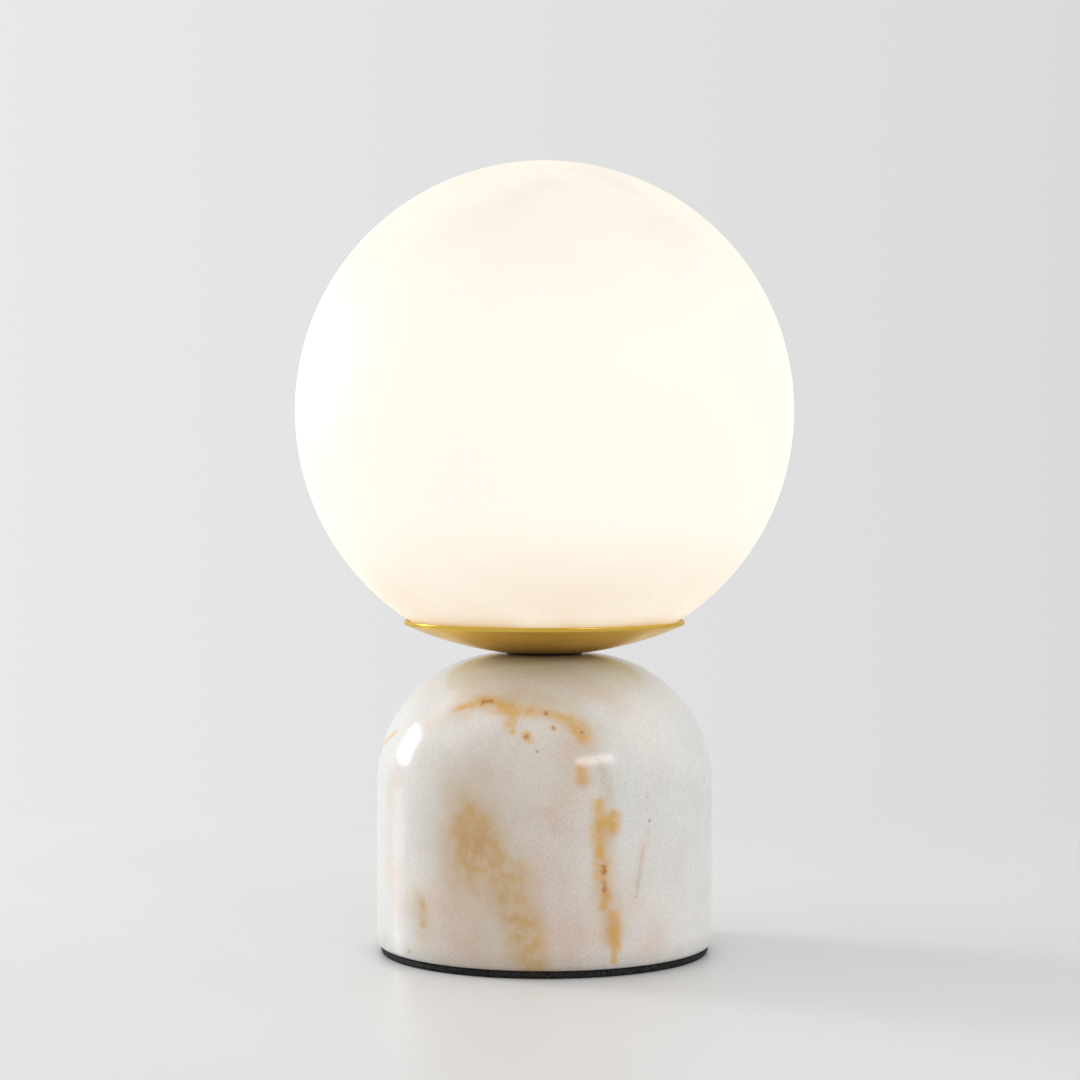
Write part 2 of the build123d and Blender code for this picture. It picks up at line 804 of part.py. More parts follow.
def block_housing():
    """Plastic block with a bore for each pole, wells for its screws, and holes for fixing."""
    block = Pos(block_x, 0, cover_top) * Box(block_length, block_width, block_height, align=UPWARDS)
    block = fillet(block.edges().filter_by(Axis.Z), block_corner_round)
    fixing_top = base_low + fixing_screw_length
    for y in pole_places:
        block -= lengthwise(block_bore_radius, block_length, y)
        for x in clamp_places:
            block -= rod_between(block_well_radius, block_bore_z, block_top, x, y)
    for y in fixing_places:
        block -= rod_between(fixing_screw_radius + thread_gap, cover_top, fixing_top, block_x, y)
    return block


def block_sleeves():
    """Brass sleeves with a threaded hole above each end."""
    sleeves = []
    for y in pole_places:
        sleeve = lengthwise(sleeve_radius, block_length - 2 * sleeve_inset, y)
        sleeve -= lengthwise(sleeve_radius - sleeve_wall, block_length, y)
        for x in clamp_places:
            sleeve -= rod_between(clamp_screw_radius + thread_gap, block_bore_z, block_top, x, y)
        sleeves.append(sleeve)
    return Compound(children=sleeves)


def clamp_screws():
    """Slotted screws that clamp the leads' copper ends in the sleeves."""
    low = block_bore_z + copper_radius + thread_gap
    slot = Box(3 * clamp_screw_radius, clamp_slot_width, clamp_slot_depth, align=DOWNWARDS)
    screw = rod_between(clamp_screw_radius, low, low + clamp_screw_length)
    screw -= Pos(0, 0, low + clamp_screw_length) * slot
    return Compound(children=[Pos(x, y, 0) * screw for y in pole_places for x in clamp_places])


def fixing_screws():
    """Screws through the cover into the block."""
    screw = Pos(block_x, 0, base_low) * countersunk_screw(fixing_screw_radius, fixing_screw_length)
    return Compound(children=[Pos(0, y, 0) * screw for y in fixing_places])


# ---------------------------------------------------------------- leads
def lead(points):
    """Insulated wire: straight runs joined by arcs, each as wide as its two runs allow."""
    stops = [Vector(*p) for p in points]
    runs = [b - a for a, b in zip(stops, stops[1:])]
    bends = []
    for before, after in zip(runs, runs[1:]):
        half_turn = math.radians(before.get_angle(after) / 2)
        widest = 0.45 * min(before.length, after.length) / math.tan(half_turn)
        bends.append(min(lead_bend, widest))
    path = FilletPolyline(*points, radius=bends)
    return sweep(Plane(origin=path @ 0, z_dir=path % 0) * Circle(lead_radius), path=path)


def lead_foot(y):
    """First two points of a lead that leaves the block's pole at y."""
    first_bend_x = sleeve_end_x + sleeve_inset + lead_straight_foot
    return [(sleeve_end_x, y, block_bore_z), (first_bend_x, y, block_bore_z)]


def holder_lead(pole_y, side):
    """Lead from a pole up through the rod to the terminal on one side of the lampholder."""
    near_y = side * lead_offset
    far_y = side * terminal_offset
    rise = [
        (0, near_y, block_bore_z),
        (0, near_y, rod_top + bush_lip + lead_clear),
        (0, far_y, core_low - lead_straight_head),
        (0, far_y, core_low),
    ]
    return lead(lead_foot(pole_y) + rise)


def lead_live():
    """Lead to the front terminal."""
    return holder_lead(pole_places[0], -1)


def lead_neutral():
    """Lead to the rear terminal."""
    return holder_lead(pole_places[1], 1)


def lead_earth():
    """Lead to the earth tag's barrel."""
    return lead(lead_foot(pole_places[-1]) + [(0, tag_reach, block_bore_z), (0, tag_reach, tag_barrel_low)])


def copper_ends():
    """Bare ends of the leads in sleeves, terminals and tag."""
    in_sleeve = Rot(0, -90, 0) * Cylinder(copper_radius, copper_length, align=UPWARDS)
    ends = [Pos(sleeve_end_x, y, block_bore_z) * in_sleeve for y in pole_places]
    for y in (-terminal_offset, terminal_offset):
        ends.append(rod_between(copper_radius, core_low, core_low + copper_length, 0, y))
    ends.append(rod_between(copper_radius, tag_barrel_low, tag_low, 0, tag_reach))
    return Compound(children=ends)


# ---------------------------------------------------------------- every node, under its function's name
NODES = [
    foam_pad,
    marble_base,
    cover_plate,
    cover_plugs,
    cover_screws,
    cord_inlet,
    threaded_rod,
    rod_bushes,
    rod_nuts,
    toothed_washers,
    lower_washer,
    earth_tag,
    dish_washer,
    brass_dish,
    seat_ring,
    globe_spring,
    glass_globe,
    holder_cap,
    holder_grub_screw,
    holder_shell,
    holder_core,
    holder_terminals,
    screw_liner,
    centre_contact,
    contact_rivet,
    bulb_tip,
    bulb_insulator,
    bulb_cap,
    bulb_housing,
    bulb_diffuser,
    led_board,
    led_chips,
    driver_board,
    driver_capacitor,
    block_housing,
    block_sleeves,
    clamp_screws,
    fixing_screws,
    lead_live,
    lead_neutral,
    lead_earth,
    copper_ends,
]

os.makedirs("parts", exist_ok=True)
for node in NODES:
    export_step(node(), f"parts/{node.__name__}.step")
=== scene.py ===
import math

import bpy
import numpy as np
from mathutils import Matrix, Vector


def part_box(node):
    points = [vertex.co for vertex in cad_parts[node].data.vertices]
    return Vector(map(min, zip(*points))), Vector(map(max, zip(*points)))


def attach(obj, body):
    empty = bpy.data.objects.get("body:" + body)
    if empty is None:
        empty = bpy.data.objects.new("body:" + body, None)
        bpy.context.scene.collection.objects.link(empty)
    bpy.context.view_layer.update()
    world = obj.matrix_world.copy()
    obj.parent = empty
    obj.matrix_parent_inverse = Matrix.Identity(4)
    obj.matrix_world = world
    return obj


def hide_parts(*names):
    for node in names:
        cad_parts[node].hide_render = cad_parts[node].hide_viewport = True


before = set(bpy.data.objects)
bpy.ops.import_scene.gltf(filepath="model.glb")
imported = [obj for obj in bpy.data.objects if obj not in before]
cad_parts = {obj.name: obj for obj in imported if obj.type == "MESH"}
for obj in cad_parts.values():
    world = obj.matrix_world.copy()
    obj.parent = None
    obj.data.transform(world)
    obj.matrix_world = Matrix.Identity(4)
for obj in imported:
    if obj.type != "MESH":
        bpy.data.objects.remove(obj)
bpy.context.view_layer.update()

# Glass globe table lamp, at rest and lit: finishes, and the pieces whose form the plain solids leave out.
# The scene is in metres. Pieces and veins are drawn in millimetres and scaled by MM.
# The front faces -Y, the inlet at the back faces +Y, and the floor is at height 0.

MM = 0.001
SEED = 7

# ------------------------------------------------------------------ sizes shared with the solids, mm
STONE_RADIUS = 67.5
STONE_FLAT = 15.5               # radius of the flat top
STONE_DOME = 52.0               # radius of the dome's arc in section
STONE_SHOULDER = 68.0           # height where the upright side ends

GLOBE_RADIUS = 100.0
GLOBE_WALL = 3.0

PAD_RADIUS = 66.0
PAD_HEIGHT = 3.0

EDISON_PITCH = 3.629
CAP_CREST = 13.08               # radius of the bulb cap's collar
CAP_WALL = 0.35
LINER_RADIUS = 13.83            # middle of the screw shell's sheet
LINER_WALL = 0.3
ROD_RADIUS = 5.0
ROD_BORE = 3.7                  # radius of the way through the rod
ROD_PITCH = 1.0


def plain(red, green, blue):
    """A colour as a painter reads it, 0 to 255, turned into the linear numbers that a shader takes."""
    shares = [c / 255 for c in (red, green, blue)]
    return tuple(c / 12.92 if c <= 0.04045 else ((c + 0.055) / 1.055) ** 2.4 for c in shares) + (1.0,)


# ------------------------------------------------------------------ camera
CAMERA_PLACE = (-0.0018, -1.127, 0.197)
CAMERA_DIP_DEG = 1.60
CAMERA_LENS_MM = 93.33
CAMERA_SENSOR_MM = 36.0


def stand_camera():
    """The photograph's viewpoint: a long lens a little over a metre away, a hand above the table."""
    lens = bpy.data.cameras.new("viewpoint")
    lens.sensor_width = CAMERA_SENSOR_MM
    lens.lens = CAMERA_LENS_MM
    lens.clip_start, lens.clip_end = 0.05, 50.0
    viewpoint = bpy.data.objects.new("viewpoint", lens)
    viewpoint.location = CAMERA_PLACE
    viewpoint.rotation_euler = (math.radians(90 - CAMERA_DIP_DEG), 0.0, 0.0)
    bpy.context.scene.collection.objects.link(viewpoint)
    bpy.context.scene.camera = viewpoint


# ------------------------------------------------------------------ material helpers
class Nodes:
    """Short calls that add and join the nodes of one tree."""

    def __init__(self, tree):
        self.tree = tree

    def feed(self, socket, value):
        """Gives a socket a value, or the output of another node."""
        if isinstance(value, bpy.types.NodeSocket):
            self.tree.links.new(value, socket)
        else:
            socket.default_value = value

    def node(self, kind, inputs=None, **settings):
        made = self.tree.nodes.new(kind)
        for name, value in settings.items():
            setattr(made, name, value)
        for key, value in (inputs or {}).items():
            self.feed(made.inputs[key], value)
        return made

    def maths(self, operation, *values):
        return self.node("ShaderNodeMath", dict(enumerate(values)), operation=operation).outputs[0]

    def spread(self, value, low, high, out_low=0.0, out_high=1.0, smooth=True):
        """Value between low and high, spread over out_low to out_high, and level beyond them."""
        inputs = {"Value": value, 1: low, 2: high, 3: out_low, 4: out_high}
        kind = "SMOOTHSTEP" if smooth else "LINEAR"
        made = self.node("ShaderNodeMapRange", inputs, interpolation_type=kind, clamp=not smooth)
        return made.outputs[0]

    def mix(self, share, first, second, way="MIX"):
        """A mix of two colours."""
        made = self.node("ShaderNodeMix", data_type="RGBA", blend_type=way)
        for index, value in ((0, share), (6, first), (7, second)):
            self.feed(made.inputs[index], value)
        return made.outputs[2]


class Finish(Nodes):
    """One material, with its shader's own sockets and the patterns that feed them. All patterns read Object
    coordinates, so they stay on the piece."""

    def __init__(self, name, sockets=None):
        self.material = bpy.data.materials.new(name)
        self.material.use_nodes = True
        super().__init__(self.material.node_tree)
        self.shader = self.tree.nodes["Principled BSDF"]
        for socket, value in (sockets or {}).items():
            self.set(socket, value)
        self.place = self.node("ShaderNodeTexCoord").outputs["Object"]
        self.normal = None

    def set(self, socket, value):
        self.feed(self.shader.inputs[socket], value)

    def vector(self, operation, *values):
        made = self.node("ShaderNodeVectorMath", dict(enumerate(values)), operation=operation)
        return made.outputs["Value" if operation in ("LENGTH", "DOT_PRODUCT") else "Vector"]

    def scaled(self, vector, share):
        return self.node("ShaderNodeVectorMath", {0: vector, 3: share}, operation="SCALE").outputs[0]

    def noise(self, grain_mm, detail=3.0, along=None, output=0, rough=0.55):
        """Noise whose patches are about grain_mm across: output 0 is a number, 1 is a colour."""
        inputs = {
            "Vector": along or self.place,
            "Scale": 1 / (grain_mm * MM),
            "Detail": detail,
            "Roughness": rough,
        }
        return self.node("ShaderNodeTexNoise", inputs).outputs[output]

    def shift(self, place, noise, reach_mm):
        """A place moved about by a noise's colour, by up to about half the reach each way."""
        return self.vector("MULTIPLY_ADD", noise, (reach_mm * MM,) * 3, place)

    def relief(self, height, depth_mm, strength=1.0):
        """Adds a small relief of that depth to the surface."""
        inputs = {"Height": height, "Distance": depth_mm * MM, "Strength": strength}
        if self.normal is not None:
            inputs["Normal"] = self.normal
        self.normal = self.node("ShaderNodeBump", inputs).outputs[0]
        self.set("Normal", self.normal)

    def parts(self):
        """The place's x, y and z, in metres."""
        made = self.node("ShaderNodeSeparateXYZ", {0: self.place})
        return made.outputs[0], made.outputs[1], made.outputs[2]

    def rings(self, across_mm, turn_share=0.02):
        """Turning marks round the Z axis: noise over radius and height, with little change round the axis."""
        x, y, z = self.parts()
        squares = self.maths("ADD", self.maths("MULTIPLY", x, x), self.maths("MULTIPLY", y, y))
        radius = self.maths("SQRT", squares)
        turn = self.maths("MULTIPLY", self.maths("ARCTAN2", y, x), turn_share * across_mm * MM)
        along = self.node("ShaderNodeCombineXYZ", {0: radius, 1: z, 2: turn}).outputs[0]
        return self.noise(across_mm, 2.0, along=along)


# ------------------------------------------------------------------ marble
# Veins as drawn on the stone. Each row is a path of (angle from the front in degrees, plus to the
# right; height in mm; half width in mm). The last rows of each list are on the sides and the back, which the
# photograph doesn't show.
OCHRE_VEINS = [
    [(-38.0, 101.2, 1.0), (-29.6, 104.0, 2.0), (-24.5, 104.3, 2.6), (-18.3, 103.2, 2.4), (-12.6, 100.8, 3.4),
     (-5.0, 101.6, 1.6), (0.5, 100.7, 2.0), (5.0, 99.4, 1.6), (9.8, 97.4, 2.4), (12.6, 94.9, 3.0),
     (14.2, 92.0, 1.6)],
    [(-12.6, 100.4, 2.6), (-12.8, 96.3, 1.8), (-11.8, 94.0, 0.8)],
    [(-6.6, 92.8, 1.4), (-5.4, 91.2, 1.4)],
    [(3.0, 95.3, 1.1)],
    [(12.2, 80.5, 1.8), (12.4, 76.0, 1.8)],
    [(17.8, 66.5, 1.4), (18.2, 62.0, 2.6), (18.4, 57.6, 2.8), (17.9, 52.4, 2.0), (18.1, 48.5, 1.5),
     (18.5, 43.6, 2.0), (18.2, 39.2, 2.6), (19.4, 35.2, 1.7), (20.0, 31.2, 2.2), (19.8, 27.6, 1.1)],
    [(22.8, 61.0, 2.3), (22.6, 57.4, 2.3)],
    [(19.0, 60.0, 2.2), (22.6, 59.2, 2.0)],
    [(22.9, 23.4, 1.8), (23.4, 19.4, 2.8), (22.8, 16.2, 2.4), (23.8, 11.6, 1.4), (23.2, 6.4, 1.0)],
    [(-51.3, 6.6, 0.9)],
    [(-70, 90.0, 0.6), (-84, 82.0, 1.5), (-99, 78.0, 2.2), (-112, 84.0, 1.0)],
    [(150, 96.0, 0.9), (156, 74.0, 1.6), (163, 55.0, 2.2), (161, 38.0, 1.1), (166, 20.0, 1.6)],
    [(88, 62.0, 0.8), (94, 47.0, 1.8), (93, 38.0, 1.0)],
]
BROWN_VEINS = [
    [(-26.6, 103.9, 0.7), (-23.6, 104.4, 1.1)],
    [(-6.1, 92.0, 0.8)],
    [(0.7, 100.6, 0.8)],
    [(3.0, 95.2, 0.6)],
    [(13.6, 93.6, 0.5)],
    [(19.0, 42.6, 0.9), (19.3, 40.4, 0.5)],
    [(19.4, 36.8, 1.1), (19.6, 34.2, 0.8)],
    [(-2.6, 86.2, 0.5)],
    [(36.7, 59.0, 0.6)],
    [(157, 72.0, 0.5), (162, 57.0, 0.8)],
    [(-98, 78.2, 0.7)],
]
TAN_VEINS = [
    [(-25.0, 62.0, 3.0), (-25.5, 56.0, 6.5), (-24.5, 46.0, 10.0)],
    [(-21.0, 57.0, 4.6), (-18.0, 50.5, 6.4), (-14.2, 42.5, 6.6), (-10.2, 32.5, 6.0), (-7.2, 23.0, 6.0),
     (-5.0, 13.0, 5.4), (-3.4, 4.0, 4.2)],
    [(-44.4, 25.0, 1.6), (-44.0, 18.0, 1.8)],
    [(-128, 62.0, 3.0), (-136, 44.0, 6.5), (-132, 22.0, 5.0)],
    [(112, 84.0, 3.0), (121, 62.0, 5.0), (118, 40.0, 4.0)],
]
HAZE_VEINS = [
    [(-25.0, 68.0, 8.0), (-24.0, 50.0, 14.0), (-20.0, 30.0, 14.0), (-15.0, 12.0, 13.0)],
    [(-46.0, 26.0, 5.0), (-44.0, 14.0, 6.0)],
    [(-34.0, 103.0, 4.0), (-18.0, 105.0, 6.0), (0.0, 104.0, 6.0), (10.0, 100.0, 5.5), (16.0, 92.0, 5.0)],
    [(21.0, 60.0, 4.5), (19.0, 36.0, 4.0), (23.0, 16.0, 5.0)],
]
PINK_VEINS = [
    [(-56.0, 92.0, 4.0), (-44.0, 98.0, 5.0), (-34.0, 101.0, 3.4)],
    [(9.0, 90.0, 5.0), (10.4, 76.0, 7.0), (4.0, 64.0, 5.0)],
    [(26.0, 26.0, 7.0), (12.0, 14.0, 12.0), (2.0, 26.0, 8.0), (0.0, 42.0, 7.0)],
    [(-60.0, 74.0, 4.5), (-64.0, 50.0, 6.0), (-58.0, 22.0, 6.0)],
    [(-34.0, 24.0, 9.0), (-28.0, 10.0, 10.0)],
    [(33.0, 104.0, 5.0), (18.0, 110.0, 7.0), (-10.0, 112.0, 8.0), (-40.0, 110.0, 6.0)],
    [(36.0, 13.0, 9.0)],
    [(36.0, 56.0, 1.0), (33.6, 45.0, 2.0), (31.2, 28.8, 1.8)],
    [(172, 90.0, 5.0), (-170, 60.0, 7.0), (-160, 30.0, 5.0)],
]
GREY_VEINS = [
    [(19.7, 82.0, 2.6), (20.6, 75.0, 2.8), (21.2, 69.0, 2.2)],
    [(31.3, 73.6, 0.8)],
    [(36.0, 68.4, 0.9)],
    [(70.2, 72.0, 1.2)],
    [(34.4, 49.0, 0.5), (33.0, 40.0, 0.8), (31.4, 30.0, 0.6)],
    [(-150, 84.0, 0.8), (-146, 60.0, 1.2), (-151, 34.0, 0.7)],
]


def on_stone(angle, height):
    """The point of the stone's outside at an angle from the front and a height, in metres. Upright side up
    to the shoulder, then one arc to the flat top."""
    rise = max(0.0, height - STONE_SHOULDER)
    radius = STONE_RADIUS if rise == 0 else STONE_FLAT + math.sqrt(max(0.0, STONE_DOME**2 - rise**2))
    a = math.radians(angle)
    return np.array([radius * math.sin(a) * MM, -radius * math.cos(a) * MM, height * MM])


def vein_mask(finish, place, paths, reach):
    """How near a point is to the veins, 1 to 0: its distance to each run of a path, taken in the solid stone,
    falls smoothly from 1 on the path to 0 at the reach times the run's half width. The nearest run counts."""
    mask = None
    for path in paths:
        runs = list(zip(path, path[1:])) or [(path[0], path[0])]
        for (angle, height, width), (next_angle, next_height, next_width) in runs:
            start = on_stone(angle, height)
            run = on_stone(next_angle, next_height) - start
            away = finish.vector("SUBTRACT", place, tuple(start))
            if run @ run > 0:
                share = finish.vector("DOT_PRODUCT", away, tuple(run / (run @ run)))
                share = finish.maths("MINIMUM", finish.maths("MAXIMUM", share, 0.0), 1.0)
                away = finish.vector("SUBTRACT", away, finish.scaled(tuple(run), share))
            distance = finish.vector("LENGTH", away)
            half = (width + next_width) / 2 * MM
            inside = finish.spread(distance, 0.0, half * reach, 1.0, 0.0)
            mask = inside if mask is None else finish.maths("MAXIMUM", mask, inside)
    return mask


def marble():
    """Polished white marble: cloudy cream and cool grey ground with fine crystals, and on it veins that are
    soft at their edges and sandy inside: ochre with brown dots, tan, a pale haze, pink and grey."""
    stone = Finish("marble", {"IOR": 1.5, "Specular IOR Level": 0.5})
    # The veins wander: every point is shifted by noise before its distance to them is taken.
    middle = (0.5, 0.5, 0.5)
    drift = stone.vector("SUBTRACT", stone.noise(15.0, 2.0, output=1), middle)
    ragged = stone.vector("SUBTRACT", stone.noise(3.4, 4.0, output=1, rough=0.7), middle)
    loose = stone.shift(stone.place, drift, 6.0)
    torn = stone.shift(stone.shift(stone.place, ragged, 3.0), drift, 1.5)

    clouds = stone.noise(42.0)
    veils = stone.noise(17.0, 4.0, rough=0.6)
    patches = stone.noise(5.0, rough=0.6)
    sand = stone.noise(0.85, rough=0.75)

    ground = stone.mix(stone.spread(clouds, 0.36, 0.64), plain(236, 237, 235), plain(243, 241, 237))
    ground = stone.mix(stone.spread(veils, 0.42, 0.75, 0.0, 0.6), ground, plain(232, 228, 221))

    haze = vein_mask(stone, loose, HAZE_VEINS, 2.0)
    pink = vein_mask(stone, loose, PINK_VEINS, 2.0)
    tan = vein_mask(stone, loose, TAN_VEINS, 2.2)
    grey = vein_mask(stone, torn, GREY_VEINS, 1.9)
    ochre = vein_mask(stone, torn, OCHRE_VEINS, 2.3)
    brown = vein_mask(stone, torn, BROWN_VEINS, 2.2)

    # The strength of four of them is nearness times a level that sand and patches raise and lower, up to 1.
    sanded = stone.maths("MULTIPLY", stone.maths("SUBTRACT", sand, 0.5), 2.0)
    broken = stone.maths("MULTIPLY_ADD", stone.maths("SUBTRACT", patches, 0.5), 1.5, sanded)
    strengths = []
    for nearness, level, grain in (
        (ochre, 0.95, broken), (tan, 0.95, broken), (haze, 1.0, sanded), (brown, 1.10, broken),
    ):
        lifted = stone.maths("MAXIMUM", stone.maths("ADD", grain, level), 0.0)
        strengths.append(stone.maths("MINIMUM", stone.maths("MULTIPLY", nearness, lifted), 1.0))
    core, golden, faint, dots = strengths
    patchy = stone.spread(veils, 0.3, 0.68, 0.62, 1.0)
    even = stone.spread(patches, 0.3, 0.62, 0.75, 1.0)

    # Painted shade: the middle of the front, and most of all its left half, is painted warmer and darker than
    # the sides, standing in for the dimmer light that reaches the front.
    x, y, z = stone.parts()
    front_shade = stone.spread(y, -0.067, -0.026, 1.0, 0.0)
    for rule in ((x, 0.004, 0.034, 1.0, 0.40), (z, 0.082, 0.108, 1.0, 0.35), (clouds, 0.3, 0.7, 0.80, 1.0)):
        front_shade = stone.maths("MULTIPLY", front_shade, stone.spread(*rule))
    colour = stone.mix(front_shade, ground, (0.865, 0.785, 0.725, 1.0), "MULTIPLY")
    # Each layer: where, how it breaks up, its greatest share, and the stain that tints what is below it.
    layers = (
        (pink, patchy, 0.95, (0.985, 0.885, 0.835, 1.0)),
        (faint, patchy, 0.85, (0.88, 0.755, 0.58, 1.0)),
        (grey, even, 0.75, (0.83, 0.76, 0.68, 1.0)),
        (golden, even, 1.0, (0.905, 0.69, 0.385, 1.0)),
        (core, even, 1.0, (1.0, 0.68, 0.26, 1.0)),
        (dots, even, 0.95, (0.66, 0.43, 0.30, 1.0)),
    )
    for mask, breaks, most, stain in layers:
        share = stone.maths("MULTIPLY", stone.maths("MULTIPLY", mask, breaks), most)
        colour = stone.mix(share, colour, stain, "MULTIPLY")
    # Fine crystals lighten and darken the stone by a few percent, and painted shade darkens the foot over its
    # lowest millimetres.
    crystals_and_foot_shade = stone.spread(sand, 0.28, 0.72, 0.895, 1.07)
    crystals_and_foot_shade = stone.maths("MULTIPLY", crystals_and_foot_shade, stone.spread(z, 0.003, 0.012, 0.80, 1.0))
    colour = stone.mix(1.0, colour, crystals_and_foot_shade, "MULTIPLY")
    stone.set("Base Color", colour)
    stone.set("Roughness", stone.spread(stone.noise(0.7, rough=0.7), 0.35, 0.65, 0.10, 0.20))
    stone.relief(stone.noise(0.8), 0.016, 0.8)
    return stone.material


# ------------------------------------------------------------------ glass, metals, plastics
def opal_glass():
    """Opal glass lit from inside: milky, satin, an even warm glow that dims toward the mouth and the top, and
    a painted brass-brown reflection and shade of the dish in a thin band at the mouth.
    """
    glass = Finish("opal_glass", {"IOR": 1.5, "Specular IOR Level": 0.35})
    z = glass.parts()[2]
    milk = glass.noise(30.0)
    low = glass.spread(z, 0.132, 0.180)
    glow = glass.mix(low, (0.845, 0.70, 0.535, 1.0), (0.95, 0.885, 0.765, 1.0))
    # Painted reflection and shade: a thin brass-brown band just above the mouth stands in for the dish
    # mirrored in the glass and the shade it casts there.
    glow = glass.mix(glass.spread(z, 0.132, 0.1385), (0.70, 0.50, 0.27, 1.0), glow)
    glow = glass.mix(glass.spread(z, 0.235, 0.317), glow, (0.80, 0.72, 0.61, 1.0))
    glow = glass.mix(glass.spread(milk, 0.35, 0.65, 0.0, 0.4), glow, (0.93, 0.87, 0.745, 1.0))
    glass.set("Emission Color", glow)
    glass.set("Emission Strength", 0.88)
    glass.set("Base Color", glass.mix(milk, plain(130, 129, 126), plain(136, 135, 132)))
    glass.relief(glass.noise(7.0, 2.0), 0.02, 0.5)
    glass.set("Roughness", glass.spread(glass.noise(3.0), 0.3, 0.7, 0.46, 0.56))
    return glass.material


def bulb_opal():
    """The bulb's diffuser, lit: brighter than the globe, slightly dimmer where it meets its housing."""
    opal = Finish("bulb_opal", {"IOR": 1.5, "Specular IOR Level": 0.4})
    z = opal.parts()[2]
    glow = opal.mix(opal.spread(z, 0.209, 0.222), (0.80, 0.68, 0.50, 1.0), (1.0, 0.955, 0.85, 1.0))
    opal.set("Emission Color", glow)
    opal.set("Emission Strength", 0.8)
    opal.set("Base Color", opal.mix(opal.noise(6.0), plain(150, 148, 142), plain(158, 156, 150)))
    opal.set("Roughness", opal.spread(opal.noise(1.5), 0.3, 0.7, 0.34, 0.44))
    opal.relief(opal.noise(0.5, 2.0), 0.004, 0.4)
    return opal.material


def spun_brass():
    """Satin brass, spun: fine rings about the axis, a slightly cloudy lacquer, roughness that follows."""
    brass = Finish("brass", {"Metallic": 1.0, "Specular Tint": (1.0, 0.88, 0.66, 1.0)})
    rings = brass.rings(0.16)
    broad = brass.rings(1.3)
    haze = brass.noise(12.0)
    tone = brass.mix(brass.spread(rings, 0.3, 0.7), (0.69, 0.46, 0.078, 1.0), (0.76, 0.52, 0.10, 1.0))
    tone = brass.mix(brass.spread(haze, 0.4, 0.7, 0.0, 0.35), tone, (0.65, 0.42, 0.062, 1.0))
    brass.set("Base Color", tone)
    rough = brass.spread(rings, 0.25, 0.75, 0.14, 0.22)
    brass.set("Roughness", brass.maths("ADD", rough, brass.spread(haze, 0.3, 0.7, 0.0, 0.06)))
    brass.relief(rings, 0.004, 0.5)
    brass.relief(broad, 0.006, 0.4)
    return brass.material


def metal(name, low_tone, high_tone, rough, grain_mm=0.5, depth_mm=0.004):
    """Plated or rolled metal: clouded tone, fine relief and roughness that varies with it."""
    made = Finish(name, {"Metallic": 1.0})
    fine, cloud = made.noise(grain_mm), made.noise(grain_mm * 9)
    made.set("Base Color", made.mix(made.spread(cloud, 0.35, 0.65), plain(*low_tone), plain(*high_tone)))
    made.set("Roughness", made.spread(fine, 0.3, 0.7, rough - 0.05, rough + 0.07))
    made.relief(fine, depth_mm, 0.5)
    return made.material


def moulding(name, low_tone, high_tone, rough, grain_mm=0.35, depth_mm=0.006, sockets=None):
    """Moulded plastic, rubber or glaze: faintly cloudy colour, fine grain in relief and roughness."""
    made = Finish(name, sockets)
    fine, cloud = made.noise(grain_mm, 2.0), made.noise(8.0)
    made.set("Base Color", made.mix(made.spread(cloud, 0.35, 0.65), plain(*low_tone), plain(*high_tone)))
    made.set("Roughness", made.spread(fine, 0.3, 0.7, rough - 0.05, rough + 0.05))
    made.relief(fine, depth_mm, 0.5)
    return made.material


def pad_foam():
    """Closed-cell black foam: charcoal skin with small open cells that are darker and lower."""
    foam = Finish("pad_foam", {"Specular IOR Level": 0.25})
    cells = foam.node("ShaderNodeTexVoronoi", {"Vector": foam.place, "Scale": 1500.0}).outputs["Distance"]
    skin_share = foam.spread(cells, 0.25, 0.62)
    clouds = foam.noise(5.0)
    tone = foam.mix(skin_share, plain(62, 61, 61), plain(23, 23, 23))
    foam.set("Base Color", foam.mix(foam.spread(clouds, 0.4, 0.7, 0.0, 0.5), tone, plain(28, 28, 29)))
    foam.set("Roughness", foam.spread(clouds, 0.3, 0.7, 0.78, 0.92))
    foam.relief(cells, -0.12, 0.8)
    return foam.material


def earth_lead():
    """Green lead with a yellow stripe that winds along it."""
    lead = Finish("lead_green", {"Specular IOR Level": 0.4})
    x, _, z = lead.parts()
    wound = lead.maths("ADD", lead.maths("MULTIPLY", z, 900.0), lead.maths("MULTIPLY", x, 1500.0))
    stripe = lead.spread(lead.maths("SINE", wound), 0.05, 0.25)
    fine = lead.noise(0.4, 2.0)
    lead.set("Base Color", lead.mix(stripe, plain(42, 122, 58), plain(214, 196, 46)))
    lead.set("Roughness", lead.spread(fine, 0.3, 0.7, 0.40, 0.50))
    lead.relief(fine, 0.005, 0.5)
    return lead.material


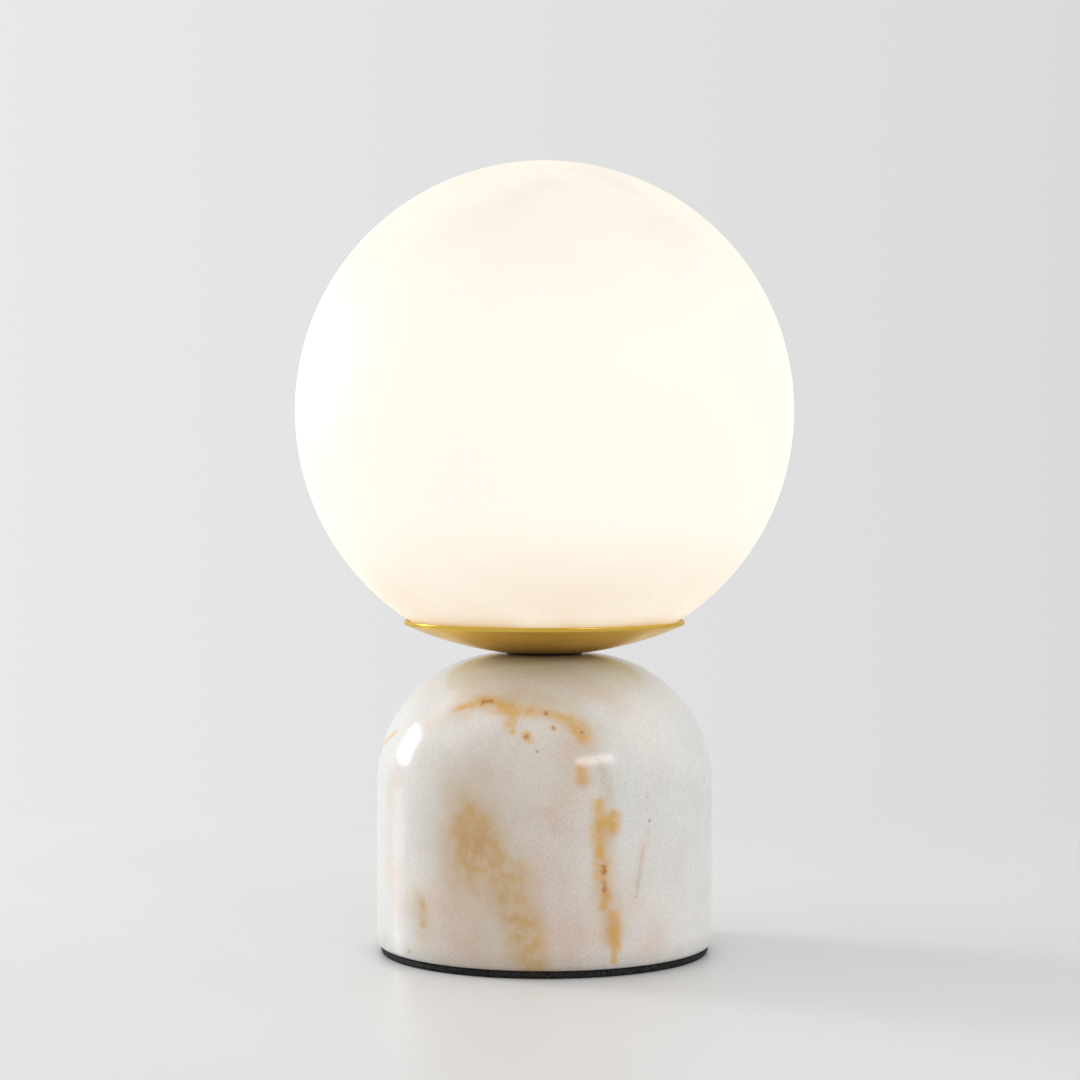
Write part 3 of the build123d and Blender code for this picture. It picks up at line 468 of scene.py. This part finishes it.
# Name, the two tones of its clouds, roughness, and where they aren't the usual, grain and relief in mm.
METALS = (
    ("zinc_steel", (176, 178, 182), (198, 199, 200), 0.34),
    ("spring_steel", (150, 151, 153), (172, 172, 171), 0.26, 0.3, 0.003),
    ("nickel", (196, 192, 184), (212, 208, 200), 0.24, 0.4, 0.003),
    ("bronze", (176, 132, 86), (190, 146, 98), 0.30, 0.3),
    ("copper", (196, 124, 88), (210, 140, 102), 0.30, 0.3),
)
SILICONE = {"Transmission Weight": 0.45, "IOR": 1.41}
GLAZE = {"Coat Weight": 0.3}
PHOSPHOR = {"Emission Color": (1.0, 0.86, 0.55, 1.0), "Emission Strength": 0.5}
MOULDINGS = (
    ("nylon", (226, 223, 212), (234, 231, 222), 0.42),
    ("black_plastic", (22, 22, 23), (30, 30, 31), 0.38),
    ("black_rubber", (24, 23, 22), (32, 31, 30), 0.68, 0.5, 0.012),
    ("clear_silicone", (214, 214, 210), (226, 226, 222), 0.38, 0.6, 0.006, SILICONE),
    ("white_plastic", (224, 222, 216), (232, 230, 225), 0.36),
    ("ceramic", (228, 224, 214), (236, 233, 225), 0.22, 0.8, 0.01, GLAZE),
    ("black_glass", (20, 18, 20), (30, 27, 29), 0.12, 1.2, 0.008),
    ("bulb_plastic", (226, 226, 224), (234, 234, 232), 0.34),
    ("led_board", (216, 218, 214), (228, 229, 226), 0.40),
    ("led_phosphor", (226, 190, 84), (238, 206, 104), 0.5, 0.2, 0.004, PHOSPHOR),
    ("circuit_board", (28, 88, 52), (40, 104, 62), 0.40),
    ("lead_brown", (96, 58, 36), (110, 68, 42), 0.42),
    ("lead_blue", (40, 84, 160), (52, 98, 176), 0.42),
)
FINISHES = {
    "marble": marble(),
    "opal_glass": opal_glass(),
    "bulb_opal": bulb_opal(),
    "brass": spun_brass(),
    "pad_foam": pad_foam(),
    "lead_green": earth_lead(),
}
FINISHES.update({row[0]: metal(*row) for row in METALS})
FINISHES.update({row[0]: moulding(*row) for row in MOULDINGS})


# ------------------------------------------------------------------ surfaces
def skin(name, points, finish, sharp_deg=35.0, wrap_rows=False):
    """A grid of points in mm, rows along a profile and columns round the axis, as one closed mesh. Columns
    wrap round. Either the rows wrap round as well, or the first and last are poles, drawn as one point
    each."""
    rows, columns = points.shape[:2]
    here = np.arange(rows * columns).reshape(rows, columns)
    beside = np.roll(here, -1, axis=1)
    quads = np.stack([here, beside, np.roll(beside, -1, axis=0), np.roll(here, -1, axis=0)], axis=-1)
    verts = points.reshape(-1, 3)
    if wrap_rows:
        faces = quads.reshape(-1, 4).tolist()
    else:
        # A pole's first point stands for all of its row, and the quads beside it become triangles.
        pole_a, pole_b = here[0, 0], here[-1, 0]
        top = np.stack([np.full(columns, pole_a), beside[1], here[1]], axis=-1)
        bottom = np.stack([here[-2], beside[-2], np.full(columns, pole_b)], axis=-1)
        middle = quads[1:-2].reshape(-1, 4)
        keep = np.concatenate([[pole_a], here[1:-1].ravel(), [pole_b]])
        renumber = np.zeros(rows * columns, int)
        renumber[keep] = np.arange(len(keep))
        verts = verts[keep]
        faces = [*renumber[middle].tolist(), *renumber[top].tolist(), *renumber[bottom].tolist()]
    mesh = bpy.data.meshes.new(name)
    mesh.from_pydata((verts * MM).tolist(), [], faces)
    mesh.update()
    mesh.shade_smooth()
    mesh.set_sharp_from_angle(angle=math.radians(sharp_deg))
    mesh.materials.append(finish)
    piece = bpy.data.objects.new(name, mesh)
    bpy.context.scene.collection.objects.link(piece)
    return piece


def around(columns):
    """The columns' angles round the Z axis, in radians."""
    return np.linspace(0, 2 * math.pi, columns, endpoint=False)


def turn(profile, columns):
    """A profile of (radius, height) rows carried round the Z axis: x = r cos a, y = r sin a."""
    angle = around(columns)
    radius, height = profile[:, 0, None], profile[:, 1, None]
    return np.stack([radius * np.cos(angle), radius * np.sin(angle), height + 0 * angle], axis=-1)


def arc(centre, radius, start_deg, end_deg, steps):
    """Points of an arc in the (radius, height) plane; an angle of 90 points up."""
    angle = np.radians(np.linspace(start_deg, end_deg, steps))
    return np.stack([centre[0] + radius * np.cos(angle), centre[1] + radius * np.sin(angle)], axis=-1)


def upright(radius, low, high, steps):
    """A straight upright line in the (radius, height) plane."""
    return np.stack([np.full(steps, radius), np.linspace(low, high, steps)], axis=-1)


def bend(start, corner, end, steps=9):
    """The inner points of a smooth curve from start to end that leans toward the corner:
    (1 - t)^2 start + 2 t (1 - t) corner + t^2 end."""
    t = np.linspace(0, 1, steps)[1:-1, None]
    return (1 - t) ** 2 * start + 2 * t * (1 - t) * corner + t**2 * end


def heights(box):
    """The lowest and highest point of a solid's box, in mm."""
    return box[0].z / MM, box[1].z / MM


def globe():
    """Blown globe: an outer and an inner sphere about one centre, joined at the mouth by a rounded,
    flame-polished edge. The outer radius is smaller by hundredths of a millimetre that differ from place to
    place: R - w s^2 (1 + cos(2 a) sin(3 p)) / 2, with s = sin of 0 to pi from the top to the mouth."""
    columns, swell_mm = 256, 0.06
    low, high = heights(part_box("glass_globe"))
    centre = high - GLOBE_RADIUS
    inner = GLOBE_RADIUS - GLOBE_WALL
    mouth = low + 0.02 - centre     # just inside the solid's cut
    out_r, in_r = math.sqrt(GLOBE_RADIUS**2 - mouth**2), math.sqrt(inner**2 - mouth**2)
    # Both walls stop a little before the cut, by 0.55 and 0.95 degrees, and bend into the flat between them.
    out_deg = math.degrees(math.atan2(mouth, out_r)) + 0.55
    in_deg = math.degrees(math.atan2(mouth, in_r)) + 0.95
    outer_arc = arc((0, centre), GLOBE_RADIUS, 90, out_deg, 150)
    inner_arc = arc((0, centre), inner, in_deg, 90, 96)
    flat_a, flat_b, corner_a, corner_b = (
        np.array([radius, mouth + centre]) for radius in (out_r - 1.04, in_r + 0.96, out_r - 0.1, in_r - 0.05)
    )
    bend_a = bend(outer_arc[-1], corner_a, flat_a)
    bend_b = bend(flat_b, corner_b, inner_arc[0])
    profile = np.concatenate([outer_arc, bend_a, [flat_a], [flat_b], bend_b, inner_arc])
    profile[0, 0] = profile[-1, 0] = 0.0
    points = turn(profile, columns)
    swell = np.zeros(len(profile))
    swell[: len(outer_arc)] = np.sin(np.linspace(0, math.pi, len(outer_arc))) ** 2
    ripple = np.cos(2 * around(columns)) * np.sin(3 * np.linspace(0, 3, len(profile)))[:, None]
    wave = swell_mm * swell[:, None] * (1 + ripple) / 2
    points[..., :2] *= (1 - wave / GLOBE_RADIUS)[..., None]
    piece = skin("globe", points[::-1], FINISHES["opal_glass"])
    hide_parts("glass_globe")
    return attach(piece, "globe")


def foam_pad():
    """Foam disc: flat underside and top, and an edge that bulges a little between two rounded corners and
    is pitted by cut cells, each column and row of the edge set back by seeded noise of up to 0.22 mm."""
    columns, pit_mm = 900, 0.22
    edge, top = PAD_RADIUS - 0.5, PAD_HEIGHT
    middle, curve, half_deg = PAD_HEIGHT / 2, 1.6, 55
    bulge = arc((PAD_RADIUS - curve, middle), curve, -half_deg, half_deg, 13)
    # The bulge's arc is squeezed to end 0.25 mm from the flats.
    squeeze = (middle - 0.25) / (curve * math.sin(math.radians(half_deg)))
    bulge[:, 1] = middle + (bulge[:, 1] - middle) * squeeze
    flats = np.linspace(0, edge - 0.6, 26)
    under = np.stack([flats, 0 * flats], axis=-1)
    over = np.stack([flats[::-1], 0 * flats + top], axis=-1)
    corner_low = np.array([[edge - 0.3, 0.0], [edge - 0.1, 0.06]])
    corner_high = corner_low[::-1] * [1, -1] + [0, top]
    profile = np.concatenate([under, corner_low, bulge, corner_high, over])
    points = turn(profile, columns)
    draws = np.random.default_rng(SEED)
    pits = draws.random((len(profile), columns)) ** 3
    pits = (pits + np.roll(pits, 1, axis=1) + np.roll(pits, -1, axis=1)) / 3
    # The pits fade in from 3 mm to 1 mm inside the rim.
    near_edge = np.clip((np.hypot(points[..., 0], points[..., 1]) - (PAD_RADIUS - 3.0)) / 2.0, 0, 1)
    inward = pit_mm * pits * near_edge
    points[..., :2] *= (1 - inward / PAD_RADIUS)[..., None]
    piece = skin("foam_pad_cut", points, FINISHES["pad_foam"], 60.0)
    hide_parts("foam_pad")
    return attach(piece, "base")


def thread(profile, columns, pitch, depth, from_height, to_height, fade):
    """A profile turned about Z whose radius is moved in and out by a thread: r + d cos(2 pi z / p - a), the
    depth d fading in and out over the first and last millimetres of the threaded length."""
    points = turn(profile, columns)
    height = profile[:, 1, None]
    share = np.clip((height - from_height) / fade, 0, 1) * np.clip((to_height - height) / fade, 0, 1)
    share = share * share * (3 - 2 * share)
    move = depth * share * np.cos(2 * math.pi * height / pitch - around(columns)[None, :])
    radius = profile[:, 0, None]
    points[..., :2] *= (1 + move / np.maximum(radius, 1.0))[..., None]
    return points


def bulb_cap():
    """The bulb's rolled sheet cap: a sheet profile that goes up outside and down inside, with the rolled
    thread pressed through both. Above the thread it widens to its collar."""
    low, high = heights(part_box("bulb_cap"))
    crest, middle = CAP_CREST, CAP_CREST - 0.5
    outside = np.concatenate([
        [[8.5, low], [11.2, low], [11.9, low + 0.15], [12.35, low + 0.6]],
        upright(middle, low + 1.3, high - 3.2, 92),
        [[middle, high - 2.9], [crest - 0.05, high - 2.3], [crest, high - 1.9], [crest, high - 0.15],
         [crest - 0.15, high]],
    ])
    inside = np.concatenate([
        [[crest - 0.35, high], [crest - CAP_WALL - 0.05, high - 0.15], [crest - CAP_WALL, high - 2.0]],
        upright(middle - CAP_WALL, high - 3.1, low + 1.5, 92),
        [[12.0 - CAP_WALL, low + 0.75], [11.2, low + CAP_WALL], [8.5, low + CAP_WALL]],
    ])
    points = thread(np.concatenate([outside, inside]), 96, EDISON_PITCH, 0.48, low + 1.2, high - 3.0, 2.0)
    piece = skin("bulb_cap_rolled", points[::-1], FINISHES["nickel"], 40.0, wrap_rows=True)
    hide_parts("bulb_cap")
    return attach(piece, "bulb")


def screw_liner():
    """The lampholder's screw shell: thin rolled sheet between the bulb's cap and the plastic."""
    low, high = heights(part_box("screw_liner"))
    outside = upright(LINER_RADIUS + LINER_WALL / 2, low, high, 120)
    inside = upright(LINER_RADIUS - LINER_WALL / 2, high, low, 120)
    points = thread(np.concatenate([outside, inside]), 96, EDISON_PITCH, 0.2, low, high, 1.5)
    piece = skin("screw_liner_rolled", points[::-1], FINISHES["nickel"], 40.0, wrap_rows=True)
    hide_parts("screw_liner")
    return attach(piece, "base")


def threaded_rod():
    """Hollow M10 rod with its fine thread cut into the outside only, from crests 0.28 mm above the middle of
    the thread's depth to roots as far below it."""
    cut, chamfer, columns = 0.28, 0.4, 40
    low, high = heights(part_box("threaded_rod"))
    start, end = low + chamfer, high - chamfer
    side = upright(ROD_RADIUS - cut, start, end, int((high - low) * 7))
    outside = np.concatenate([[[4.4, low]], side, [[4.4, high]]])
    inside = upright(ROD_BORE, high, low, 12)
    points = thread(outside, columns, ROD_PITCH, cut, start, end, 1.0)
    points = np.concatenate([points, turn(inside, columns)])
    piece = skin("rod_with_thread", points[::-1], FINISHES["zinc_steel"], 50.0, wrap_rows=True)
    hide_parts("threaded_rod")
    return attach(piece, "base")


# ------------------------------------------------------------------ stage and light
AIR_LIGHT = 0.60                # how bright the white is that lights the lamp from all around
TABLE_HALF_WIDTH = 3.0
TABLE_FRONT, TABLE_BACK = -3.0, 0.40

# Name, azimuth and elevation in degrees, distance, width and height in metres, share of a white's brightness.
LIGHTS = (
    ("left_window", -116, 15, 1.5, 0.36, 0.44, 0.37),
    ("left_sky", -95, 46, 1.8, 1.6, 1.4, 0.145),
    ("front_strip", 37, 25, 1.6, 0.72, 0.16, 0.10),
    ("right_fill", 86, 26, 1.8, 2.2, 1.6, 0.14),
    ("overhead", -40, 84, 1.8, 2.0, 1.8, 0.09),
)


def stage():
    """Pale table that ends behind the lamp."""
    left, right = -TABLE_HALF_WIDTH, TABLE_HALF_WIDTH
    corners = [(left, TABLE_FRONT, 0.0), (right, TABLE_FRONT, 0.0), (right, TABLE_BACK, 0.0),
               (left, TABLE_BACK, 0.0)]
    mesh = bpy.data.meshes.new("table")
    mesh.from_pydata(corners, [], [(0, 1, 2, 3)])
    mesh.update()
    paint = Finish("table_paint", {"Specular IOR Level": 0.3})
    paint.set("Base Color", paint.mix(paint.noise(180.0, 2.0), plain(230, 230, 230), plain(233, 233, 233)))
    paint.set("Roughness", paint.spread(paint.noise(2.0), 0.3, 0.7, 0.34, 0.42))
    mesh.materials.append(paint.material)
    table = bpy.data.objects.new("table", mesh)
    bpy.context.scene.collection.objects.link(table)


def surroundings():
    """Beyond the table is a pale wall, a little darker on the right. It is seen straight, in shines and
    through clear things; everything else is lit by an even white."""
    world = bpy.data.worlds.new("studio")
    bpy.context.scene.world = world
    world.use_nodes = True
    world.node_tree.nodes.clear()
    nodes = Nodes(world.node_tree)
    rays = nodes.node("ShaderNodeLightPath").outputs
    seen = nodes.maths("MAXIMUM", rays["Is Camera Ray"], rays["Is Glossy Ray"])
    seen = nodes.maths("MAXIMUM", seen, rays["Is Transmission Ray"])
    direction = nodes.node("ShaderNodeTexCoord").outputs["Generated"]
    sideways = nodes.node("ShaderNodeSeparateXYZ", {0: direction}).outputs[0]
    fall = nodes.spread(sideways, -0.2, 0.2, smooth=False)
    wall = nodes.mix(fall, plain(233, 233, 233), plain(218, 218, 219))
    air = nodes.node("ShaderNodeBackground", {0: (1.0, 1.0, 1.0, 1.0), 1: AIR_LIGHT}).outputs[0]
    backdrop = nodes.node("ShaderNodeBackground", {0: wall, 1: 1.0}).outputs[0]
    either = nodes.node("ShaderNodeMixShader", {0: seen, 1: air, 2: backdrop}).outputs[0]
    nodes.node("ShaderNodeOutputWorld", {0: either})


def softbox(name, azimuth, elevation, distance, width, height, share):
    """A soft light aimed at the lamp. Azimuth 0 is in front and plus is to the right. Share is how much of a
    white's full brightness it gives to a surface that faces it: watts = share pi^2 distance^2."""
    light = bpy.data.lights.new(name, "AREA")
    light.shape = "RECTANGLE"
    light.size, light.size_y = width, height
    light.energy = share * math.pi**2 * distance**2
    a, e = math.radians(azimuth), math.radians(elevation)
    lamp = bpy.data.objects.new(name, light)
    outward = np.array([math.sin(a) * math.cos(e), -math.cos(a) * math.cos(e), math.sin(e)])
    lamp.location = tuple(outward * distance + np.array([0, 0, 0.1]))
    lamp.rotation_euler = (math.pi / 2 - e, 0.0, a)
    bpy.context.scene.collection.objects.link(lamp)


stand_camera()
stage()
surroundings()
for row in LIGHTS:
    softbox(*row)

# ------------------------------------------------------------------ finishes on the solids, and new pieces
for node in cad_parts.values():
    slot = node.material_slots[0]
    slot.material = FINISHES[slot.material.name.split(".")[0]]
globe()
foam_pad()
bulb_cap()
screw_liner()
threaded_rod()

bpy.context.scene.view_settings.view_transform = "Standard"
